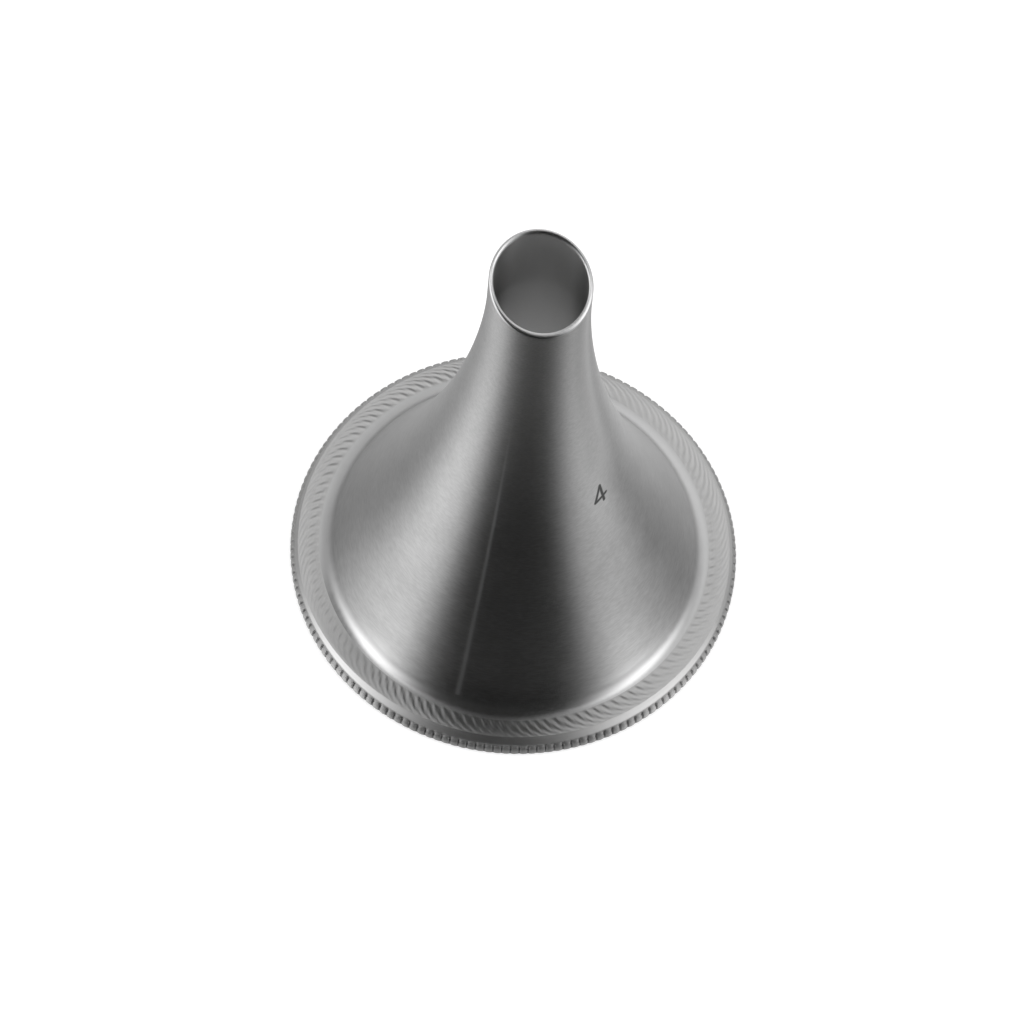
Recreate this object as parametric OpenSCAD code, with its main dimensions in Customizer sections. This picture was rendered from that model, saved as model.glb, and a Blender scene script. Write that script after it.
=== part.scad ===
// Ear speculum: a thin steel trumpet with an oblique lip, brazed into a
// knurled rim ring. All sizes are in millimetres. It stands on the rim, the
// trumpet's axis is Z, and Z = 0 is the flat underside of the ring.
// The front is -Y, and the lip is lowest on the front right.

/* [Overall] */
// Diameter over the rim's knurled edge
rim_d = 29; // [26:0.5:34]
// Height of the middle of the lip above the table
tip_h = 36.8; // [30:0.2:44]

/* [Nose and lip] */
// Outside diameter of the nose
tip_d = 6.5; // [5:0.1:8]
// Wall at the lip, outside the reamed bore
lip_wall = 0.3; // [0.25:0.05:0.5]
// Straight part of the nose below the middle of the lip
nose_l = 2.2; // [1.6:0.1:5]
// Slant of the lip, away from a square cut
lip_slant = 19.4; // [0:0.2:30]
// Compass direction of the lip's highest point, from +X towards +Y
lip_turn = 115; // [0:5:355]

/* [Trumpet wall and flare] */
// Thickness of the trumpet's sheet, below the reamed bore
wall = 0.4; // [0.3:0.05:0.6]
// How late the flare opens: 1 is a plain cone, more stays slim for longer
flare_power = 1.73; // [1.3:0.01:2.4]
// Share of the sharper second curve that opens the foot
flare_blend = 0.12; // [0:0.01:0.5]
// Gap between the trumpet's foot and the table
foot_lift = 0.1; // [0.05:0.05:0.3]

/* [Rim ring] */
// Thickness of the ring
rim_t = 1.05; // [0.9:0.05:1.5]
// Width of the ring's top, from the trumpet's wall to the outer edge
rim_w = 2.28; // [1.7:0.02:3.5]
// Width of the smooth bevel inside the knurled edge
bevel_w = 0.72; // [0.6:0.02:0.9]
// Fall of the bevel, away from flat
bevel_angle = 21; // [10:1:30]
// Rounding between the bevel and the knurled edge
edge_r = 0.4; // [0.25:0.05:0.45]
// Chamfer at the bottom of the knurled edge
base_chamfer = 0.15; // [0.05:0.05:0.2]

/* [Knurl] */
// Distance between the teeth round the edge
knurl_pitch = 0.57; // [0.5:0.01:1]
// Depth of the grooves between the teeth
knurl_depth = 0.24; // [0.08:0.01:0.3]
// Angle between the two sides of a groove
knurl_angle = 40; // [30:2:60]

/* [Brazed joint] */
// Gap between the trumpet and the ring's bore, which the filler closes
braze_gap = 0.05; // [0.03:0.01:0.1]
// Radius of the filler's hollow fillet on top of the joint
fillet_r = 0.7; // [0.2:0.01:1]

/* [Hidden] */
round_fn = 120;    // sides shown on a full turn
flare_steps = 30;  // rings along the flare
fillet_steps = 8;  // rings across the filler's fillet
over = 1;          // how far a cutting shape runs past what it cuts

rim_r = rim_d / 2;
tip_r = tip_d / 2;
bore_r = tip_r - lip_wall;
joint_r = rim_r - rim_w;              // trumpet's wall where the ring's top meets it
nose_z = tip_h - nose_l;              // the flare starts here, going down
lip_rise = tip_r * tan(lip_slant);    // lip's highest and lowest points, from its middle

// The trumpet runs through the ring as a straight cone, up to the top of the
// filler. Above that it is a flare that starts in line with the cone, so the
// cone's slope follows from the flare's own slope at its foot.
foot_gain = flare_power * (1 + flare_blend);
cone_slope = (joint_r - tip_r) * foot_gain / (nose_z - rim_t + fillet_r * (foot_gain - 1));
cone_angle = atan(cone_slope);
fillet_leg = fillet_r * tan(45 - cone_angle / 2);
flare_z = rim_t + fillet_r;
flare_r = joint_r - cone_slope * fillet_r;

// How far down the flare a height is: 0 at the nose, 1 at the foot
function flare_share(z) = max(0, min(1, (nose_z - z) / (nose_z - flare_z)));

// Outside radius of the trumpet, its slope, and the radius inside the wall
function cone_r(z) = joint_r + cone_slope * (rim_t - z);
function flare_curve(t) =
    (1 - flare_blend) * pow(t, flare_power) + flare_blend * pow(t, 2 * flare_power);
function flare_rate(t) = flare_power / (nose_z - flare_z) * (flare_r - tip_r)
    * ((1 - flare_blend) * pow(t, flare_power - 1)
       + 2 * flare_blend * pow(t, 2 * flare_power - 1));
function outer_r(z) =
    z <= flare_z ? cone_r(z) : tip_r + (flare_r - tip_r) * flare_curve(flare_share(z));
function slope_at(z) = z <= flare_z ? cone_slope : flare_rate(flare_share(z));
function inner_r(z) = max(bore_r, outer_r(z) - wall * sqrt(1 + pow(slope_at(z), 2)));

// Heights of the trumpet's rings, from the foot to above the lip
tube_top = tip_h + lip_rise + over;
heights = concat([foot_lift],
                 [for (i = [0:flare_steps]) flare_z + (nose_z - flare_z) * i / flare_steps],
                 [tube_top]);

// A half-space above the slanted plane of the lip
module above_lip() {
    reach = 4 * tip_r + over;
    translate([0, 0, tip_h])
        rotate([0, 0, lip_turn])
        rotate([0, -lip_slant, 0])
        translate([-reach / 2, -reach / 2, 0])
        cube([reach, reach, reach]);
}

// Trumpet of thin sheet: flare, straight nose, reamed bore, slanted lip
module funnel() {
    outside = [for (z = heights) [outer_r(z), z]];
    inside = [for (i = [len(heights) - 1:-1:0]) [inner_r(heights[i]), heights[i]]];
    color("silver")
        difference() {
            rotate_extrude($fn = round_fn) polygon(concat(outside, inside));
            above_lip();
        }
}

// Section of the ring: tapered bore, flat top, bevel, rounded edge, chamfer
bevel_start = rim_r - bevel_w;
round_c = rim_r - edge_r;
bevel_end = round_c + edge_r * sin(bevel_angle);
bevel_end_z = rim_t - (bevel_end - bevel_start) * tan(bevel_angle);
round_z = bevel_end_z - edge_r * cos(bevel_angle);
ring_bore_r = joint_r + braze_gap / cos(cone_angle);
ring_bore_base = ring_bore_r + cone_slope * rim_t;

module ring_section() {
    polygon([[ring_bore_base, 0], [rim_r - base_chamfer, 0], [rim_r, base_chamfer],
             [rim_r, round_z], [round_c, round_z], [bevel_end, bevel_end_z],
             [bevel_start, rim_t], [ring_bore_r, rim_t]]);
    intersection() {
        translate([round_c, round_z]) circle(r = edge_r, $fn = round_fn);
        polygon([[round_c, round_z], [rim_r + over, round_z],
                 [rim_r + over, bevel_end_z + over],
                 [round_c + (edge_r + over) * sin(bevel_angle),
                  round_z + (edge_r + over) * cos(bevel_angle)]]);
    }
}

// Outline of the knurl, a groove for each tooth; its crests lie outside the ring
knurl_teeth = round(PI * rim_d / knurl_pitch);
crest_r = rim_r + knurl_depth / 2;
groove_half = (crest_r - rim_r + knurl_depth) * tan(knurl_angle / 2);
groove_turn = atan(groove_half / crest_r);

module knurl_outline() {
    polygon([for (i = [0:knurl_teeth - 1], side = [-1:1])
        let (a = 360 * i / knurl_teeth + side * groove_turn,
             r = side == 0 ? rim_r - knurl_depth : crest_r)
        [r * cos(a), r * sin(a)]]);
}

// Turned ring that the speculum stands on and is held by
module rim_ring() {
    color("lightsteelblue")
        intersection() {
            rotate_extrude($fn = round_fn) ring_section();
            translate([0, 0, -over]) linear_extrude(height = rim_t + 2 * over) knurl_outline();
        }
}

// Brazing filler: a skin in the tapered gap and a hollow fillet on top
module braze_seam() {
    span = 90 - cone_angle;
    fillet = [for (i = [0:fillet_steps])
        let (a = -90 - span * i / fillet_steps)
        [joint_r + fillet_leg + fillet_r * cos(a), rim_t + fillet_r + fillet_r * sin(a)]];
    color("khaki")
        rotate_extrude($fn = round_fn)
        polygon(concat([[cone_r(foot_lift), foot_lift],
                        [cone_r(foot_lift) + ring_bore_r - joint_r, foot_lift],
                        [ring_bore_r, rim_t]], fillet));
}

funnel();
rim_ring();
braze_seam();
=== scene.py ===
# %% [markdown]
# # An ear speculum in satin steel
# An ear speculum is a small steel trumpet that holds the ear canal open while a doctor looks in.
# This one is three pieces: the trumpet, a knurled ring round its mouth, and the brazed seam that
# joins them. Their solids are already packed as a fixed frame, so the first step is to load it.
# Every piece below is built on the same origin: the middle of the ring's underside, z upwards.

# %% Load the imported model
import math

import bmesh
import bpy
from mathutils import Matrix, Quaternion, Vector


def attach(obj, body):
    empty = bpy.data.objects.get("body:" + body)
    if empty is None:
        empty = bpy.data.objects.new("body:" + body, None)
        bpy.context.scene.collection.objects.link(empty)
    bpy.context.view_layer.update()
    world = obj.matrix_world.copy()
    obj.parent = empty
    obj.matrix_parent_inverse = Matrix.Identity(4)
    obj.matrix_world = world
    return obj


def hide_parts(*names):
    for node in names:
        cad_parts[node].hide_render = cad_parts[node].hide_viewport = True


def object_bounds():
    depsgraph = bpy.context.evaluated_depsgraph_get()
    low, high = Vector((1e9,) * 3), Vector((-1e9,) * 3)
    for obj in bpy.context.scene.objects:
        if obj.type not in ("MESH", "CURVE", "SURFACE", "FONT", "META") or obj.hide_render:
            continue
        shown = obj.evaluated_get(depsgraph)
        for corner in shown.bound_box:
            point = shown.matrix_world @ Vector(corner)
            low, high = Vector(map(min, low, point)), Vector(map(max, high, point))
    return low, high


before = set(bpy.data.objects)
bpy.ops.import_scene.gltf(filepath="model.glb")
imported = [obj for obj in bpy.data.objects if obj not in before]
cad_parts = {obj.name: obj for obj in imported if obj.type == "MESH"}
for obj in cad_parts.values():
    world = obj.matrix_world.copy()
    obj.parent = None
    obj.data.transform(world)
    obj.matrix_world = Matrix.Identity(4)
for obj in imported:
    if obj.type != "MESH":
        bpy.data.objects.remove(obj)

MM = 0.001
cad_box = [list(corner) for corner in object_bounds()]
print("nodes:", sorted(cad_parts), "box in mm:", [[round(c / MM, 2) for c in p] for p in cad_box])

# %% [markdown]
# ## The camera
# The picture is taken from well above the front, with a long lens, so the ring looks almost like
# its plan and the trumpet leans towards us. The camera could be placed by eye, but a distance, an
# elevation and a small roll say the same in three numbers. A point just above the ring is aimed at
# the middle of the picture, which leaves the same white space round the object as a shop would.

# %% Aim a camera or a lamp
def aim(thing, target, roll=0.0):
    """Turns thing so that its -Z axis points at target, then rolls it about that axis."""
    way = Vector(target) - thing.location
    thing.rotation_mode = "QUATERNION"
    thing.rotation_quaternion = way.to_track_quat("-Z", "Y") @ Quaternion((0, 0, 1), roll)


def around(distance, azimuth, elevation):
    """The point at that distance from the origin; azimuth in degrees from +X, elevation from level."""
    a, e = math.radians(azimuth), math.radians(elevation)
    return Vector((math.cos(a) * math.cos(e), math.sin(a) * math.cos(e), math.sin(e))) * distance


# %% Place the camera
FRONT = -90
CAMERA_DISTANCE = 580 * MM
CAMERA_ELEVATION = 62.95
CAMERA_ROLL = math.radians(5.85)
CAMERA_TARGET = (-0.35 * MM, 0, 5.89 * MM)
SENSOR = 36            # this and the lens in millimetres, as on a real camera
LENS = 313.55

camera_data = bpy.data.cameras.new("Camera")
camera_data.sensor_width = SENSOR
camera_data.lens = LENS
camera = bpy.data.objects.new("Camera", camera_data)
bpy.context.scene.collection.objects.link(camera)
bpy.context.scene.camera = camera
camera.location = around(CAMERA_DISTANCE, FRONT, CAMERA_ELEVATION)
aim(camera, CAMERA_TARGET, CAMERA_ROLL)
print("camera at", [round(c, 4) for c in camera.location])

# %% [markdown]
# ## The sizes of the steel
# These are the maker's sizes, in millimetres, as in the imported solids. Only the foot of the flare
# is drawn a little slimmer here, to bring the seam's highlights where the real one has them. The
# trumpet's outline is a sum of two power curves: slim for most of its height, then opening
# quickly at the foot, where it runs on as a straight cone through the ring.

# %% Sizes and the trumpet's outline
RIM_R = 14.5           # over the crests of the knurl
TIP_R = 3.25
TIP_HEIGHT = 36.8      # the middle of the slanted lip
BORE_R = 2.95
NOSE_Z = 34.6          # below this the flare begins
LIP_SLANT = math.tan(math.radians(19.4))
LIP_TURN = math.radians(115)
WALL = 0.4
FLARE_POWER = 1.783
FLARE_BLEND = 0.041
FOOT_Z = 0.1
RING_TOP = 1.05
JOINT_R = 12.05        # the trumpet's wall at the ring's top
FILLET_R = 0.7
BRAZE_GAP = 0.05

foot_gain = FLARE_POWER * (1 + FLARE_BLEND)
cone_slope = (JOINT_R - TIP_R) * foot_gain / (NOSE_Z - RING_TOP + FILLET_R * (foot_gain - 1))
cone_angle = math.atan(cone_slope)
flare_z = RING_TOP + FILLET_R
flare_r = JOINT_R - cone_slope * FILLET_R


def flare_share(z):
    return min(1.0, max(0.0, (NOSE_Z - z) / (NOSE_Z - flare_z)))


def outer_r(z):
    """Outside radius of the trumpet at height z."""
    if z <= flare_z:
        return JOINT_R + cone_slope * (RING_TOP - z)
    t = flare_share(z) ** FLARE_POWER
    return TIP_R + (flare_r - TIP_R) * ((1 - FLARE_BLEND) * t + FLARE_BLEND * t * t)


def slope_at(z):
    """How fast the outside radius grows on the way down."""
    step = 0.01
    return cone_slope if z <= flare_z else (outer_r(z - step) - outer_r(z + step)) / (2 * step)


def inner_r(z):
    """Inside radius: the sheet's thickness in from the outside, and never less than the reamer's."""
    return max(BORE_R, outer_r(z) - WALL * math.hypot(1, slope_at(z)))


foot_angle = round(math.degrees(cone_angle), 2)
print("foot of the flare: radius", round(outer_r(flare_z), 3), "at", foot_angle, "degrees")

# %% [markdown]
# ## Turning solids in mesh code
# All three pieces come off a lathe. Blender's Screw modifier could turn an outline, but the lip is
# cut on a slant and the ring's edge is knurled, so the points are placed one ring at a time. A
# piece is a list of rings; neighbouring rings are joined with four-sided faces, and the last ring
# joins the first, so that the skin has no hole and the mesh has a true inside.

# %% Join rings of points into a solid
def ring_of(radius, height, count):
    """One ring of points round the axis; radius and height may depend on the angle."""
    points = []
    for k in range(count):
        a = 2 * math.pi * k / count
        r = radius(a) if callable(radius) else radius
        z = height(a, r) if callable(height) else height
        points.append((r * math.cos(a), r * math.sin(a), z))
    return points


def solid(name, rings, sharp_over):
    """A closed mesh object from rings of points in millimetres; edges over that angle stay sharp."""
    count = len(rings[0])
    points = [[c * MM for c in p] for ring in rings for p in ring]
    faces = []
    for i in range(len(rings)):
        low, high = i * count, (i + 1) % len(rings) * count
        faces += [(low + k, low + (k + 1) % count, high + (k + 1) % count, high + k) for k in range(count)]
    mesh = bpy.data.meshes.new(name)
    mesh.from_pydata(points, [], faces)
    shape = bmesh.new()
    shape.from_mesh(mesh)
    if shape.calc_volume(signed=True) < 0:
        bmesh.ops.reverse_faces(shape, faces=shape.faces)
        shape.to_mesh(mesh)
    volume = shape.calc_volume()
    open_edges = sum(not edge.is_manifold for edge in shape.edges)
    shape.free()
    mesh.shade_smooth()
    mesh.set_sharp_from_angle(angle=math.radians(sharp_over))
    piece = bpy.data.objects.new(name, mesh)
    bpy.context.scene.collection.objects.link(piece)
    print(name, len(faces), "faces,", round(volume / MM**3, 1), "mm3,", open_edges, "open edges")
    return piece


def arc(centre, radius, start, end, steps):
    """Points (r, z) on an arc; angles in degrees, from the r axis towards z."""
    return [(centre[0] + radius * math.cos(math.radians(start + (end - start) * i / steps)),
             centre[1] + radius * math.sin(math.radians(start + (end - start) * i / steps)))
            for i in range(steps + 1)]


# %% [markdown]
# ## The trumpet
# The real one is spun from thin sheet, reamed straight at the tip, cut off on a slant and polished
# round at the lip, so that it can't scratch. The outline goes up the outside, over a half circle
# as wide as the wall, and down the inside. The slant is a shear: above the straight nose each
# point is lifted by how far it lies towards the long side, which keeps the lip's rounding even.

# %% Build the trumpet
AROUND = 288
FLARE_RINGS = 80
LIP_STEPS = 10

lip_mid_r = (TIP_R + BORE_R) / 2
lip_round = (TIP_R - BORE_R) / 2
flare_heights = [flare_z + (NOSE_Z - flare_z) * i / FLARE_RINGS for i in range(FLARE_RINGS + 1)]
nose_heights = [NOSE_Z + (TIP_HEIGHT - lip_round - NOSE_Z) * i / 5 for i in range(1, 5)]
wall_heights = [FOOT_Z, 0.6, RING_TOP] + flare_heights + nose_heights


def lifted(z):
    """The height function for a ring at nominal height z: level below the nose, slanted at the lip."""
    share = max(0.0, z - NOSE_Z) / (TIP_HEIGHT - NOSE_Z)
    return lambda a, r: z + LIP_SLANT * share * r * math.cos(a - LIP_TURN)


outline = [(outer_r(z), z) for z in wall_heights]
outline += arc((lip_mid_r, TIP_HEIGHT - lip_round), lip_round, 0, 180, LIP_STEPS)
outline += [(inner_r(z), z) for z in reversed(wall_heights)]
trumpet = solid("trumpet", [ring_of(r, lifted(z), AROUND) for r, z in outline], sharp_over=30)
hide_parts("funnel")
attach(trumpet, "root")

# %% [markdown]
# ## The knurled ring
# The ring is turned from bar: a flat top, a bevel that was polished smooth, a rounded corner, and
# 160 teeth round the edge, pressed in with a wheel for grip. A bump map could fake them, but they
# show in the outline of the object, so they are real: each tooth gets ten points, five across its
# V-groove and the rest along its slightly arched crest. The wheel bit deepest at the rounding, where
# the grooves open like a Y, so that each tooth has a round top; towards the table they grow shallow.

# %% Sizes of the ring
TEETH = 160
GROOVE_DEPTH = 0.24
GROOVE_ANGLE = 40
GROOVE_ROOT = RIM_R - GROOVE_DEPTH
GROOVE_HALF = GROOVE_DEPTH * math.tan(math.radians(GROOVE_ANGLE / 2))
GROOVE_RISE = 0.16     # how much of the depth is lost below the rounding
RISE_Z = (0.85, 0.45)  # the heights between which it is lost
MOUTH = 0.06           # how much each side of a groove opens towards the bevel
MOUTH_Z = 0.62         # the height from which it opens
ARCH = 0.02            # how far a tooth's middle stands out from its corners
BEVEL_START = RIM_R - 0.72
BEVEL_ANGLE = 21
BEVEL_CROWN = 0.9      # how steep the bevel starts, as a share of its mean; polishing has rounded it
EDGE_R = 0.4
BASE_CHAMFER = 0.15

bevel = math.radians(BEVEL_ANGLE)
bevel_end = RIM_R - EDGE_R * (1 - math.sin(bevel))
bevel_end_z = RING_TOP - (bevel_end - BEVEL_START) * math.tan(bevel)
corner_start = 90 - math.degrees(math.atan((2 - BEVEL_CROWN) * math.tan(bevel)))
corner_r = (RIM_R - bevel_end) / (1 - math.cos(math.radians(corner_start)))
corner_z = bevel_end_z - corner_r * math.sin(math.radians(corner_start))
bore_top = JOINT_R + BRAZE_GAP / math.cos(cone_angle)
bore_base = bore_top + cone_slope * RING_TOP
pitch = 2 * math.pi / TEETH


def tooth_ring(r, z):
    """One ring of the knurled edge. The grooves are deepest and widest on the rounding."""
    down = min(1, max(0, (RISE_Z[0] - z) / (RISE_Z[0] - RISE_Z[1])))
    top = min(1, max(0, (z - MOUTH_Z) / (bevel_end_z - MOUTH_Z)))
    foot = max(0, 1 - z / BASE_CHAMFER)
    depth = max(0, r - GROOVE_ROOT - GROOVE_RISE * down) * (1 - foot)
    arch = min(ARCH, depth / 3)
    half = (GROOVE_HALF + MOUTH * top**2) / r
    crest = pitch - 2 * half
    points = []
    for tooth in range(TEETH):
        for share in (-1, -0.5, 0, 0.5):
            points.append((tooth * pitch + share * half, r - arch - (1 - abs(share)) * (depth - arch)))
        for step in range(6):
            points.append((tooth * pitch + half + crest * step / 6, r - arch * (step / 3 - 1)**2))
    return [(rad * math.cos(a), rad * math.sin(a), z) for a, rad in points]


# %% [markdown]
# Neither edge of the ring's flat top is a true circle. The bevel was polished by hand, and it is
# widest at the front, where the line between top and bevel comes closest to the axis. The seam's
# filler ran out further behind than in front. Both lines are written as a radius that changes with
# the angle, and the rings of points between them follow. The top isn't quite flat either: polishing
# has rolled it off a little towards the bevel.

# %% The two edges of the top and its slight roll
ROLL = 0.015
CREASE_R = 13.73       # where the bevel is widest
CREASE_TURN = math.radians(-85)
CREASE_SPREAD = 0.3    # how much farther out the bevel begins elsewhere
SEAM_R = 12.66
SEAM_SHIFT = 0.15      # how much farther out the filler ran behind than at the sides


def crease_r(a):
    """Radius where the top ends and the bevel begins, at angle a."""
    return CREASE_R + min(CREASE_SPREAD, 0.95 * math.sin((a - CREASE_TURN) / 2) ** 2)


def seam_edge(a):
    """Radius where the top comes out from under the seam."""
    return SEAM_R + SEAM_SHIFT * math.sin(a)


def top_z(a, r):
    """Height of the ring's top, without its ripples."""
    share = (r - seam_edge(a)) / (crease_r(a) - seam_edge(a))
    return RING_TOP - ROLL * share**2


# %% [markdown]
# The tool chattered while it faced the ring's top: about 126 shallow ripples lie across it, drawn
# out like an S, steep in the middle and nearly along the ring at both ends, deeper behind and at the
# sides than in front. They catch the light as a moire of fine bars. They are modelled as a
# relief of a few thousandths of a millimetre, a sine wave whose phase runs with both the angle and
# the radius.

# %% The ripples on the ring's face
RIPPLES = 126
RIPPLE_HEIGHT = 0.009
STEEP_R = 12.85        # where the ripples stand steepest


def ripple(a, r):
    """Height of the chatter marks at angle a and radius r, in millimetres."""
    share = (r - seam_edge(a)) / (crease_r(a) - seam_edge(a))
    if not 0 < share < 1:
        return 0.0
    wander = 0.9 * math.sin(5 * a + 1.3) + 0.6 * math.sin(11 * a + 4.1) + 0.4 * math.sin(23 * a)
    lean = 8 * (r - STEEP_R) + 7 * (r - STEEP_R) ** 3
    wave = math.sin(RIPPLES * a - lean + wander)
    wave += 0.25 * math.sin(2 * RIPPLES * a - lean + 2.5 * wander)
    sides = 0.7 * max(0, -math.cos(a)) + 0.35 * max(0, math.cos(a))
    strength = 1.1 - 0.2 * math.cos(a + math.radians(90)) + 0.1 * math.sin(9 * a + 2) + sides
    edge = min(1, share / 0.15) * (1 - share) ** 0.35
    return RIPPLE_HEIGHT * strength * edge * wave


# %% Build the ring
FACE_RINGS = 24
tooth_angles = [math.atan2(y, x) for x, y, z in tooth_ring(13, 0)]


def top_ring(radius, height):
    """One ring of the top, with a point on each line of the knurl; both values depend on the angle."""
    places = [(radius(a), a) for a in tooth_angles]
    return [(r * math.cos(a), r * math.sin(a), height(a, r)) for r, a in places]


rings = [top_ring(lambda a: bore_top, lambda a, r: RING_TOP)]
for i in range(FACE_RINGS + 1):
    share = i / FACE_RINGS
    rings.append(top_ring(lambda a: seam_edge(a) + share * (crease_r(a) - seam_edge(a)),
                          lambda a, r: top_z(a, r) + ripple(a, r)))
for share in (0.04, 0.12, 0.24, 0.36, 0.48, 0.6, 0.72, 0.86):
    drop = (BEVEL_CROWN * share + (1 - BEVEL_CROWN) * share**2) * (RING_TOP - ROLL - bevel_end_z)
    height = RING_TOP - ROLL - drop
    rings.append(top_ring(lambda a: crease_r(a) + share * (bevel_end - crease_r(a)), lambda a, r: height))
corner = arc((RIM_R - corner_r, corner_z), corner_r, corner_start, 0, 14)
edge_side = [(RIM_R, z) for z in (0.33, 0.24, BASE_CHAMFER)]
foot_edge = [(RIM_R - BASE_CHAMFER / 2, BASE_CHAMFER / 2), (RIM_R - BASE_CHAMFER, 0)]
rings += [tooth_ring(r, z) for r, z in corner + edge_side + foot_edge]
rings += [tooth_ring(r, 0) for r in (GROOVE_ROOT - 0.1, (RIM_R + bore_base) / 2, bore_base)]
knurled_ring = solid("knurled_ring", rings, sharp_over=17)
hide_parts("rim_ring")
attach(knurled_ring, "root")

# %% [markdown]
# ## The brazed seam
# The filler drew into the thin gap between trumpet and ring, and left a hollow fillet on top. Its
# outline is a parabola that leaves the ring's top level and meets the trumpet's wall in line with
# it, so it has no visible step, however far the filler ran out. Below, the filler is a skin as
# thick as the gap. It is a piece of its own, because it is another metal and shines differently.

# %% Build the seam
FILLET_STEPS = 18
seam_rings = [ring_of(outer_r(FOOT_Z), FOOT_Z, AROUND),
              ring_of(outer_r(FOOT_Z) + bore_top - JOINT_R, FOOT_Z, AROUND),
              ring_of(bore_top, RING_TOP, AROUND)]
for i in range(FILLET_STEPS + 1):
    t = i / FILLET_STEPS
    start, middle, end = (1 - t)**2, 2 * t * (1 - t), t * t
    seam_rings.append(ring_of(lambda a: start * seam_edge(a) + middle * JOINT_R + end * flare_r,
                              RING_TOP + end * (flare_z - RING_TOP), AROUND))
seam = solid("brazed_seam", seam_rings, sharp_over=30)
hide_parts("braze_seam")
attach(seam, "root")

# %% [markdown]
# ## Shader sums in Python
# A material in Blender is a graph of nodes. Written as Python sums it reads like the idea behind
# it, so one small class wraps a node's output: adding, multiplying or comparing two of them makes
# the Math node for it. Every other node comes from one method that takes its type, its settings
# and what its sockets get.

# %% The wire and the finish
class Wire:
    """The output of a node. Sums with it add Math nodes to the same material."""

    def __init__(self, finish, node, output=None):
        self.finish, self.node = finish, node
        self.socket = node.outputs[output] if output else next((o for o in node.outputs if o.enabled), None)

    def __getitem__(self, output):
        return Wire(self.finish, self.node, output)

    def math(self, operation, *others):
        return self.finish.node("ShaderNodeMath", {"operation": operation}, self, *others)

    def __add__(self, other):
        return self.math("ADD", other)

    def __mul__(self, other):
        return self.math("MULTIPLY", other)

    def __sub__(self, other):
        return self.math("SUBTRACT", other)

    def __rsub__(self, other):
        return self.math("MULTIPLY_ADD", -1, other)

    def __truediv__(self, other):
        return self.math("DIVIDE", other)

    def __rtruediv__(self, other):
        return self.finish.node("ShaderNodeMath", {"operation": "DIVIDE"}, other, self)

    def clamp(self):
        held = self.math("MULTIPLY", 1)
        held.node.use_clamp = True
        return held

    def fade(self, start, end):
        """0 before start, 1 after end, smooth between; start may be the larger."""
        settings = {"interpolation_type": "SMOOTHSTEP"}
        if start > end:
            return 1 - self.finish.node("ShaderNodeMapRange", settings, self, end, start)
        return self.finish.node("ShaderNodeMapRange", settings, self, start, end)

    __radd__ = __add__
    __rmul__ = __mul__


class Finish:
    """One material or world, with node() to add to it."""

    def __init__(self, name, owner=None):
        self.owner = owner or bpy.data.materials.new(name)
        self.owner.use_nodes = True
        self.tree = self.owner.node_tree
        self.tree.nodes.clear()

    def node(self, kind, settings=None, *values, **named):
        """Adds a node. values go to its sockets in order, named ones by name, as wires or numbers."""
        node = self.tree.nodes.new(kind)
        for key, value in (settings or {}).items():
            setattr(node, key, value)
        sockets = [s for s in node.inputs if s.enabled]
        pairs = list(zip(sockets, values))
        by_name = {socket.name.replace(" ", "_"): socket for socket in reversed(sockets)}
        pairs += [(by_name[name], value) for name, value in named.items()]
        for socket, value in pairs:
            if isinstance(value, Wire):
                self.tree.links.new(value.socket, socket)
            else:
                socket.default_value = value
        return Wire(self, node)

    def mix(self, share, first, second):
        """From the first colour to the second as share goes from 0 to 1."""
        return self.node("ShaderNodeMix", {"data_type": "RGBA"}, Factor=share, A=first, B=second)

    def noise(self, point, scale, detail=2.0):
        return self.node("ShaderNodeTexNoise", None, point, Scale=scale, Detail=detail)

    def point(self, x, y, z):
        return self.node("ShaderNodeCombineXYZ", None, x, y, z)


def grey(level, warmth=0.0):
    """A steel's colour: a grey, a little redder and less blue as warmth rises."""
    return (level * (1 + warmth), level, level * (1 - 1.4 * warmth), 1)


def place_on(finish):
    """Where a surface point is: x, y, z and the radius in millimetres, and the azimuth in degrees."""
    where = finish.node("ShaderNodeSeparateXYZ", None, finish.node("ShaderNodeTexCoord")["Object"])
    x, y, z = (where[axis] / MM for axis in "XYZ")
    return x, y, z, (x * x + y * y).math("SQRT"), y.math("ARCTAN2", x) * (180 / math.pi)


# %% [markdown]
# ## The trumpet's satin finish
# The trumpet was brushed with a fine abrasive while it turned, so its scratches run round the axis.
# Light smears at right angles to scratches: each lamp becomes a long streak up the trumpet. That is
# the shader's anisotropy, and its rotation of a quarter turns the smear to run along the outline.
# On top of it come fine lines in colour, roughness and bump, drawn out round the axis, and a few
# cloudy patches where the hand pressed more.

# %% Brushed lines round the axis
def brushed(finish, spacing, length, detail=2.0):
    """Noise drawn out into lines round the axis; spacing in millimetres, length in cells a radian."""
    x, y, z, radius, turn = place_on(finish)
    return finish.noise(finish.point(x / radius * length, y / radius * length, z / spacing), 1.0, detail)


# %% [markdown]
# The size digit is a dark laser mark. It is drawn without a font: three strokes, each the distance
# from a point to a line between two ends. The distance is worked out in the material, on the
# unrolled surface near the mark: round the axis it is an arc, and up the trumpet a slanted length.

# %% The size digit
DIGIT_Z = 16.4
DIGIT_TURN = -35
STROKE = 0.115
DIGIT_STROKES = [((0.20, 0.66), (-0.44, -0.47)),
                 ((-0.44, -0.50), (0.58, -0.42)),
                 ((0.22, 0.62), (0.28, -0.86))]


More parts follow.
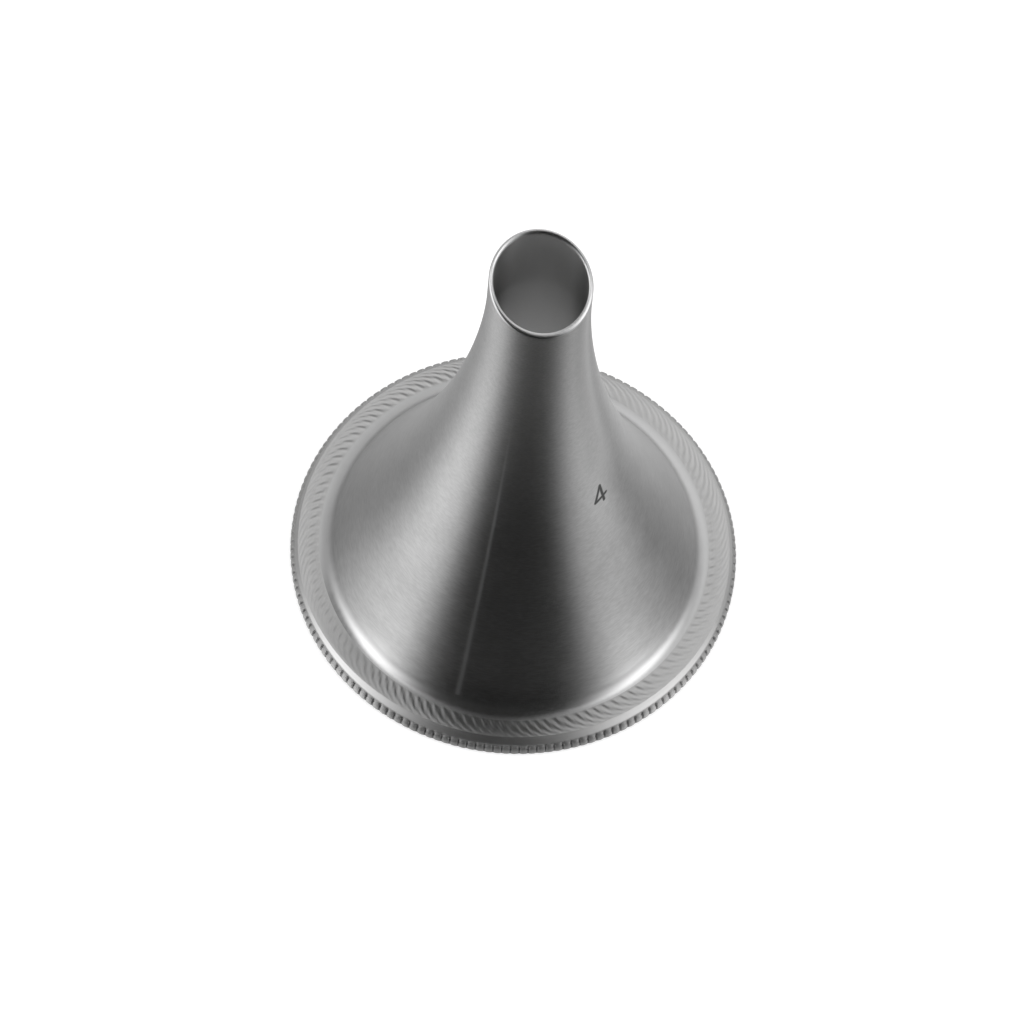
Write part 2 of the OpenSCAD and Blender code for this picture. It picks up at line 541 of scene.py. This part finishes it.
def digit_mask(finish):
    """1 on the strokes of the digit, 0 elsewhere."""
    x, y, z, radius, turn = place_on(finish)
    right = (turn - DIGIT_TURN) * math.radians(outer_r(DIGIT_Z))
    up = (z - DIGIT_Z) * math.hypot(1, slope_at(DIGIT_Z))
    nearest = None
    for (ax, ay), (bx, by) in DIGIT_STROKES:
        dx, dy = bx - ax, by - ay
        share = (((right - ax) * dx + (up - ay) * dy) / (dx * dx + dy * dy)).clamp()
        off_x, off_y = right - ax - share * dx, up - ay - share * dy
        distance = (off_x * off_x + off_y * off_y).math("SQRT")
        nearest = distance if nearest is None else nearest.math("MINIMUM", distance)
    outside = radius.fade(outer_r(DIGIT_Z + 2) - 0.2, outer_r(DIGIT_Z + 2))
    return nearest.fade(STROKE + 0.05, STROKE - 0.05) * outside


# %% [markdown]
# No hand finish is the same all round, and some of this one is painted light. Highlights are painted
# on two stretches of the foot, a narrow painted reflection runs up the front, and at the right the
# upper half has a darker stretch with a lighter one beside it. The lip is polished smooth, and the
# inside, which no brush reached, is dull, with painted light and shade: lighter towards front and back,
# darker at the sides. The masks could be painted by hand, but each place is simple in azimuth and
# height, so a short sum will do.

# %% A patch on one side
def patch(turn, azimuth, width):
    """A soft patch round that azimuth, 1 in its middle; all in degrees, and turn is a wire."""
    away = (turn - azimuth + 540).math("FLOORED_MODULO", 360) - 180
    return (away * away * (-1 / width**2)).math("EXPONENT")


# %% The painted highlight on the foot
def painted_foot_highlight(turn, z):
    """1 on the two stretches low on the trumpet and on the seam where a highlight is painted."""
    return ((patch(turn, -131, 13) + patch(turn, -48, 14)) * z.fade(2.6, 1.6)).clamp()


# %% Masks of the lip and of the inside
def lip_mask(finish):
    """1 on the rounding of the slanted lip, 0 elsewhere."""
    x, y, z, radius, turn = place_on(finish)
    along = x * math.cos(LIP_TURN) + y * math.sin(LIP_TURN)
    return (TIP_HEIGHT + along * LIP_SLANT - z).fade(0.3, 0.12)


def inside_mask(finish):
    """1 where the surface faces the axis, 0 where it faces away from it."""
    x, y, z, radius, turn = place_on(finish)
    normal = finish.node("ShaderNodeSeparateXYZ", None, finish.node("ShaderNodeTexCoord")["Normal"])
    return ((normal["X"] * x + normal["Y"] * y) / radius).fade(-0.2, -0.6)


# %% Satin steel of the trumpet
def satin_steel():
    finish = Finish("satin_steel")
    x, y, z, radius, turn = place_on(finish)
    fine = brushed(finish, 0.08, 18).fade(0.3, 0.7)
    coarse = brushed(finish, 0.45, 6, 3).fade(0.3, 0.7)
    cloud = finish.noise(finish.point(x, y, z), 0.35, 3)
    lines = fine * 0.75 + coarse * 0.25
    mark = digit_mask(finish)
    lip = lip_mask(finish)
    inside = inside_mask(finish)
    # painted reflection: a narrow light line up the front, which is also a little rougher
    reflection_streak = patch(turn, -103, 0.9) * z.fade(27, 16)
    # a lighter and a darker stretch at the right of the upper half
    lighter_stretch = patch(turn, -18, 7) * z.fade(15, 21)
    darker_stretch = patch(turn, -36, 8) * z.fade(15, 21)
    sides = (x * x / (radius * radius)).fade(0.35, 0.95)
    colour = finish.mix(lines * 0.7 + cloud * 0.3, grey(0.44), grey(0.58))
    # painted highlight on two stretches of the foot
    colour = finish.mix(painted_foot_highlight(turn, z) * 0.7, colour, grey(0.80))
    colour = finish.mix(mark, colour, grey(0.10))
    colour = finish.mix(reflection_streak * 0.8, colour, grey(0.80))
    colour = finish.mix(lighter_stretch * 0.35, colour, grey(0.80))
    colour = finish.mix(darker_stretch * 0.25, colour, grey(0.25))
    # painted light and shade on the inside: lighter towards front and back, darker at the sides
    colour = finish.mix(inside, colour, finish.mix(sides, grey(0.62), grey(0.30)))
    colour = finish.mix(lip, colour, grey(0.66))
    rough = 0.33 + z.fade(4, 36) * 0.3 + (lines - 0.5) * 0.05 + (cloud - 0.5) * 0.03 + mark * 0.2
    rough = (rough + reflection_streak * 0.12) * (1 - lip) + lip * 0.3
    bump = finish.node("ShaderNodeBump", None, Strength=0.05, Distance=0.02 * MM, Height=lines)
    skin = finish.node("ShaderNodeBsdfPrincipled", None, Base_Color=colour, Metallic=1.0, Roughness=rough,
                       Anisotropic=0.94, Anisotropic_Rotation=0.25, Normal=bump)
    dull = finish.node("ShaderNodeBsdfPrincipled", None, Base_Color=colour, Metallic=1.0, Roughness=0.62,
                       Normal=bump)
    dullness = (z.fade(14, 34) * 0.5).math("MAXIMUM", inside) * (1 - lip)
    both = finish.node("ShaderNodeMixShader", None, dullness, skin, dull)
    finish.node("ShaderNodeOutputMaterial", None, both)
    return finish.owner


trumpet.data.materials.append(satin_steel())
print("trumpet's finish has", len(trumpet.data.materials[0].node_tree.nodes), "nodes")

# %% [markdown]
# ## The ring and the seam
# The ring's face is turned, the bevel polished and the knurl left as the wheel pressed it: one
# material, whose roughness and lines change with the radius. Shade is painted into the knurl's grooves,
# most of it in front, and painted shade darkens the ring's face in front and at the front left. The
# groove shade could come from an ambient occlusion, but how deep a point lies under the teeth's crests
# follows from the ring's own sizes. The seam is a paler filler, buffed smooth; it is darker in a cloudy
# patch at the left, painted shade darkens its front, and highlights are painted on two stretches of its
# foot.

# %% Turned steel of the ring
def turned_steel():
    finish = Finish("turned_steel")
    x, y, z, radius, turn = place_on(finish)
    on_edge = radius.fade(bevel_end - 0.06, bevel_end + 0.02)
    groove = finish.noise(finish.point(x / radius * 4, y / radius * 4, radius / 0.07 + z / 0.07), 1.0, 3)
    cloud = finish.noise(finish.point(x, y, z), 1.1, 3)
    above = (z - corner_z).math("MAXIMUM", 0)
    crest = (corner_r**2 - above * above).math("SQRT") + (RIM_R - corner_r)
    # painted shade in the knurl's grooves, darker the deeper under the crests, most of it in front
    groove_shade = (crest - radius).fade(0.01, 0.05) * on_edge * (0.3 + patch(turn, -90, 45) * 0.7)
    # painted shade: the ring's face darker in front and at the front left
    shade = patch(turn, -93, 26) * radius.fade(13.9, 13.1)
    shade = shade + patch(turn, -135, 15) * radius.fade(13.9, 13.7) * 0.4
    shade = shade * radius.fade(12.4, 12.65)
    colour = finish.mix(groove * 0.5 + cloud * 0.5, grey(0.45, 0.003), grey(0.60, 0.003))
    colour = finish.mix(on_edge, colour, grey(0.48, 0.003))
    colour = finish.mix(groove_shade, colour, grey(0.22))
    colour = finish.mix((shade * 0.7).clamp(), colour, grey(0.12))
    worn = radius.fade(12.7, 13.7) * 0.05
    rough = 0.35 + (cloud - 0.5) * 0.05 + (groove - 0.5) * 0.04 - worn + on_edge * 0.35
    bump = finish.node("ShaderNodeBump", None, Strength=0.08, Distance=0.02 * MM, Height=groove)
    skin = finish.node("ShaderNodeBsdfPrincipled", None, Base_Color=colour, Metallic=1.0, Roughness=rough,
                       Anisotropic=0.8, Anisotropic_Rotation=0.25, Normal=bump)
    finish.node("ShaderNodeOutputMaterial", None, skin)
    return finish.owner


# %% Filler metal of the seam
def braze_metal():
    finish = Finish("braze_metal")
    x, y, z, radius, turn = place_on(finish)
    cloud = finish.noise(finish.point(x, y, z), 1.6, 3)
    lines = brushed(finish, 0.08, 8)
    body = z.fade(flare_z, RING_TOP + 0.1)
    colour = finish.mix(cloud * 0.6 + lines * 0.4, grey(0.44), grey(0.58))
    colour = finish.mix(body * 0.4, colour, grey(0.60))
    # painted highlight on two stretches of the foot
    colour = finish.mix(painted_foot_highlight(turn, z) * 0.7, colour, grey(0.80))
    # darker in a cloudy patch at the left of the seam
    dark_left_patch = patch(turn, -150, 15) * radius.fade(12.0, 12.4) * (0.6 + cloud * 0.8)
    colour = finish.mix(dark_left_patch.clamp(), colour, grey(0.26))
    # painted shade: the seam darker in front
    shade = patch(turn, -93, 26) * radius.fade(11.9, 12.4)
    colour = finish.mix(shade * 0.6, colour, grey(0.16))
    rough = 0.32 + (cloud - 0.5) * 0.04 + (lines - 0.5) * 0.03
    bump = finish.node("ShaderNodeBump", None, Strength=0.08, Distance=0.02 * MM, Height=lines)
    skin = finish.node("ShaderNodeBsdfPrincipled", None, Base_Color=colour, Metallic=1.0, Roughness=rough,
                       Anisotropic=0.8, Anisotropic_Rotation=0.25, Normal=bump)
    finish.node("ShaderNodeOutputMaterial", None, skin)
    return finish.owner


knurled_ring.data.materials.append(turned_steel())
seam.data.materials.append(braze_metal())
for piece in (knurled_ring, seam):
    print(piece.name, "has a finish of", len(piece.data.materials[0].node_tree.nodes), "nodes")

# %% [markdown]
# ## Floor and background
# The object stands on plain white paper. Its whiteness for the camera, and for what the steel
# mirrors, comes from a little glow in the paper and from the world, not from more lamps; the rest
# of the paper's light is real, so that the object can still shade it.

# %% White paper and white world
FLOOR_SIZE = 1.5
FLOOR_Z = -0.03 * MM   # a hair below the ring, so that the two faces don't fight


def seen_directly(finish):
    """1 for the camera and for mirrored or refracted rays, 0 for the light that falls on things."""
    path = finish.node("ShaderNodeLightPath")
    return (path["Is Camera Ray"] + path["Is Glossy Ray"] + path["Is Transmission Ray"]).clamp()


def white_paper():
    finish = Finish("white_paper")
    grain = finish.noise(finish.node("ShaderNodeTexCoord")["Object"], 900, 3)
    colour = finish.mix(grain, grey(0.58), grey(0.62))
    bump = finish.node("ShaderNodeBump", None, Strength=0.05, Distance=0.1 * MM, Height=grain)
    skin = finish.node("ShaderNodeBsdfPrincipled", None, Base_Color=colour, Roughness=0.9, Normal=bump)
    glow = finish.node("ShaderNodeEmission", None, Color=grey(1.0), Strength=seen_directly(finish) * 0.5)
    finish.node("ShaderNodeOutputMaterial", None, finish.node("ShaderNodeAddShader", None, skin, glow))
    return finish.owner


floor_mesh = bpy.data.meshes.new("floor")
sides = ((-1, -1), (1, -1), (1, 1), (-1, 1))
corners = [(side_x * FLOOR_SIZE, side_y * FLOOR_SIZE, FLOOR_Z) for side_x, side_y in sides]
floor_mesh.from_pydata(corners, [], [(0, 1, 2, 3)])
floor = bpy.data.objects.new("floor", floor_mesh)
bpy.context.scene.collection.objects.link(floor)
floor.data.materials.append(white_paper())

world = bpy.data.worlds.new("World")
bpy.context.scene.world = world
sky = Finish("World", world)
sky.node("ShaderNodeOutputWorld", None, sky.node("ShaderNodeBackground", None, grey(1.0), 1.0))
print("paper", 2 * FLOOR_SIZE, "m wide under a white world")

# %% [markdown]
# ## Studio light
# Polished steel is only as good as what it mirrors. The object stands in a tent of white cloth with
# a soft box behind the cloth on each side, and the tent is open at the front, where the dark room
# shows: without that opening the trumpet would look like paper. The soft boxes light the paper, and
# the tent is there for mirrored rays only, so that it neither shades the paper nor shows itself.

# %% Soft boxes
def soft_box(name, azimuth, elevation, size, glow):
    """A square lamp behind the cloth, as bright as glow times white paper."""
    lamp = bpy.data.lights.new(name, "AREA")
    lamp.size = size
    lamp.energy = glow * math.pi * size * size
    box = bpy.data.objects.new(name, lamp)
    bpy.context.scene.collection.objects.link(box)
    box.location = around(0.8, azimuth, elevation)
    aim(box, (0, 0, 0.01))
    box.visible_camera = box.visible_glossy = False
    return box


LEFT_LAMP = -158
RIGHT_LAMP = -13
left_box = soft_box("soft_box_left", LEFT_LAMP, 50, 0.4, 1.5)
right_box = soft_box("soft_box_right", RIGHT_LAMP, 50, 0.4, 2.0)
print("soft boxes of", round(left_box.data.energy, 2), "and", round(right_box.data.energy, 2), "W")

# %% [markdown]
# The tent's cloth is one surface turned round the object's axis: a cloth on the table that starts
# under the ring's edge, walls, and a roof. The cloth is brighter behind, and most at the right, with
# a bright patch in front of each lamp. It is darker on the table near the object, except close
# beside the ring, and dark overhead. The opening in front is a little narrower near the horizon.
# Real cloth could be lit by real lamps, but what the steel mirrors is easier to set as a glow.

# %% The tent's cloth
def tent_cloth():
    finish = Finish("tent_cloth")
    x, y, z, radius, turn = place_on(finish)
    height = z.math("ARCTAN2", radius) * (180 / math.pi)
    behind = (y / radius).fade(0.1, 0.9)
    right = (x / radius).fade(-0.5, 0.5)
    cloth = 0.38 - right * 0.08 + behind * (0.32 + right * 0.48)
    high = height.fade(25, 60)
    left_glow = patch(turn, LEFT_LAMP - high * 12, 24) * (0.9 + height.fade(2, 15) * 0.8)
    right_glow = patch(turn, RIGHT_LAMP, 22) * (0.15 + height.fade(0, 12) * 0.85) * (1.8 - high * 0.2)
    table = 1 - radius.fade(32, 28) * (0.42 + right * 0.2)
    low = z.fade(1, 10) * height.fade(35, 12)
    closed = ((turn + 89).math("ABSOLUTE") + low * 9).fade(34, 55)
    walls = height.fade(88, 64)
    level = ((cloth + left_glow + right_glow) * table * closed + (1 - closed) * 0.02) * walls
    beside = patch(turn, -133, 11) * 2.6 + patch(turn, -40, 13) * 2.4
    level = level + radius.fade(21, 16) * beside
    close = radius.fade(16.2, 15)
    level = level * (1 - close) + close
    glow = finish.node("ShaderNodeEmission", None, Color=grey(1.0), Strength=level)
    finish.node("ShaderNodeOutputMaterial", None, glow)
    finish.owner.cycles.emission_sampling = "NONE"
    return finish.owner


# %% The tent's surface
TENT_OUTLINE = [(14.1, -0.015), (14.6, -0.015), (16, 0.01), (20, 0.05), (28, 0.1), (45, 0.3), (120, 1),
                (500, 40), (800, 200), (900, 500), (850, 900), (600, 1300), (300, 1500), (1, 1560)]
TENT_SIDES = 72
tent_rings = [ring_of(r, z, TENT_SIDES) for r, z in TENT_OUTLINE]
tent_points = [[c * MM for c in p] for ring in tent_rings for p in ring]
tent_faces = []
for low in range(0, TENT_SIDES * (len(TENT_OUTLINE) - 1), TENT_SIDES):
    high = low + TENT_SIDES
    for k in range(TENT_SIDES):
        after = (k + 1) % TENT_SIDES
        tent_faces.append((low + k, low + after, high + after, high + k))
tent_mesh = bpy.data.meshes.new("tent")
tent_mesh.from_pydata(tent_points, [], tent_faces)
tent = bpy.data.objects.new("tent", tent_mesh)
bpy.context.scene.collection.objects.link(tent)
tent.data.materials.append(tent_cloth())
for ray in ("camera", "diffuse", "shadow", "transmission", "volume_scatter"):
    setattr(tent, "visible_" + ray, False)
print("tent of", len(tent_mesh.polygons), "faces, seen by mirrored rays only")

# %% [markdown]
# The Standard view transform shows a colour as it is written.

# %% Finish
bpy.context.scene.view_settings.view_transform = "Standard"
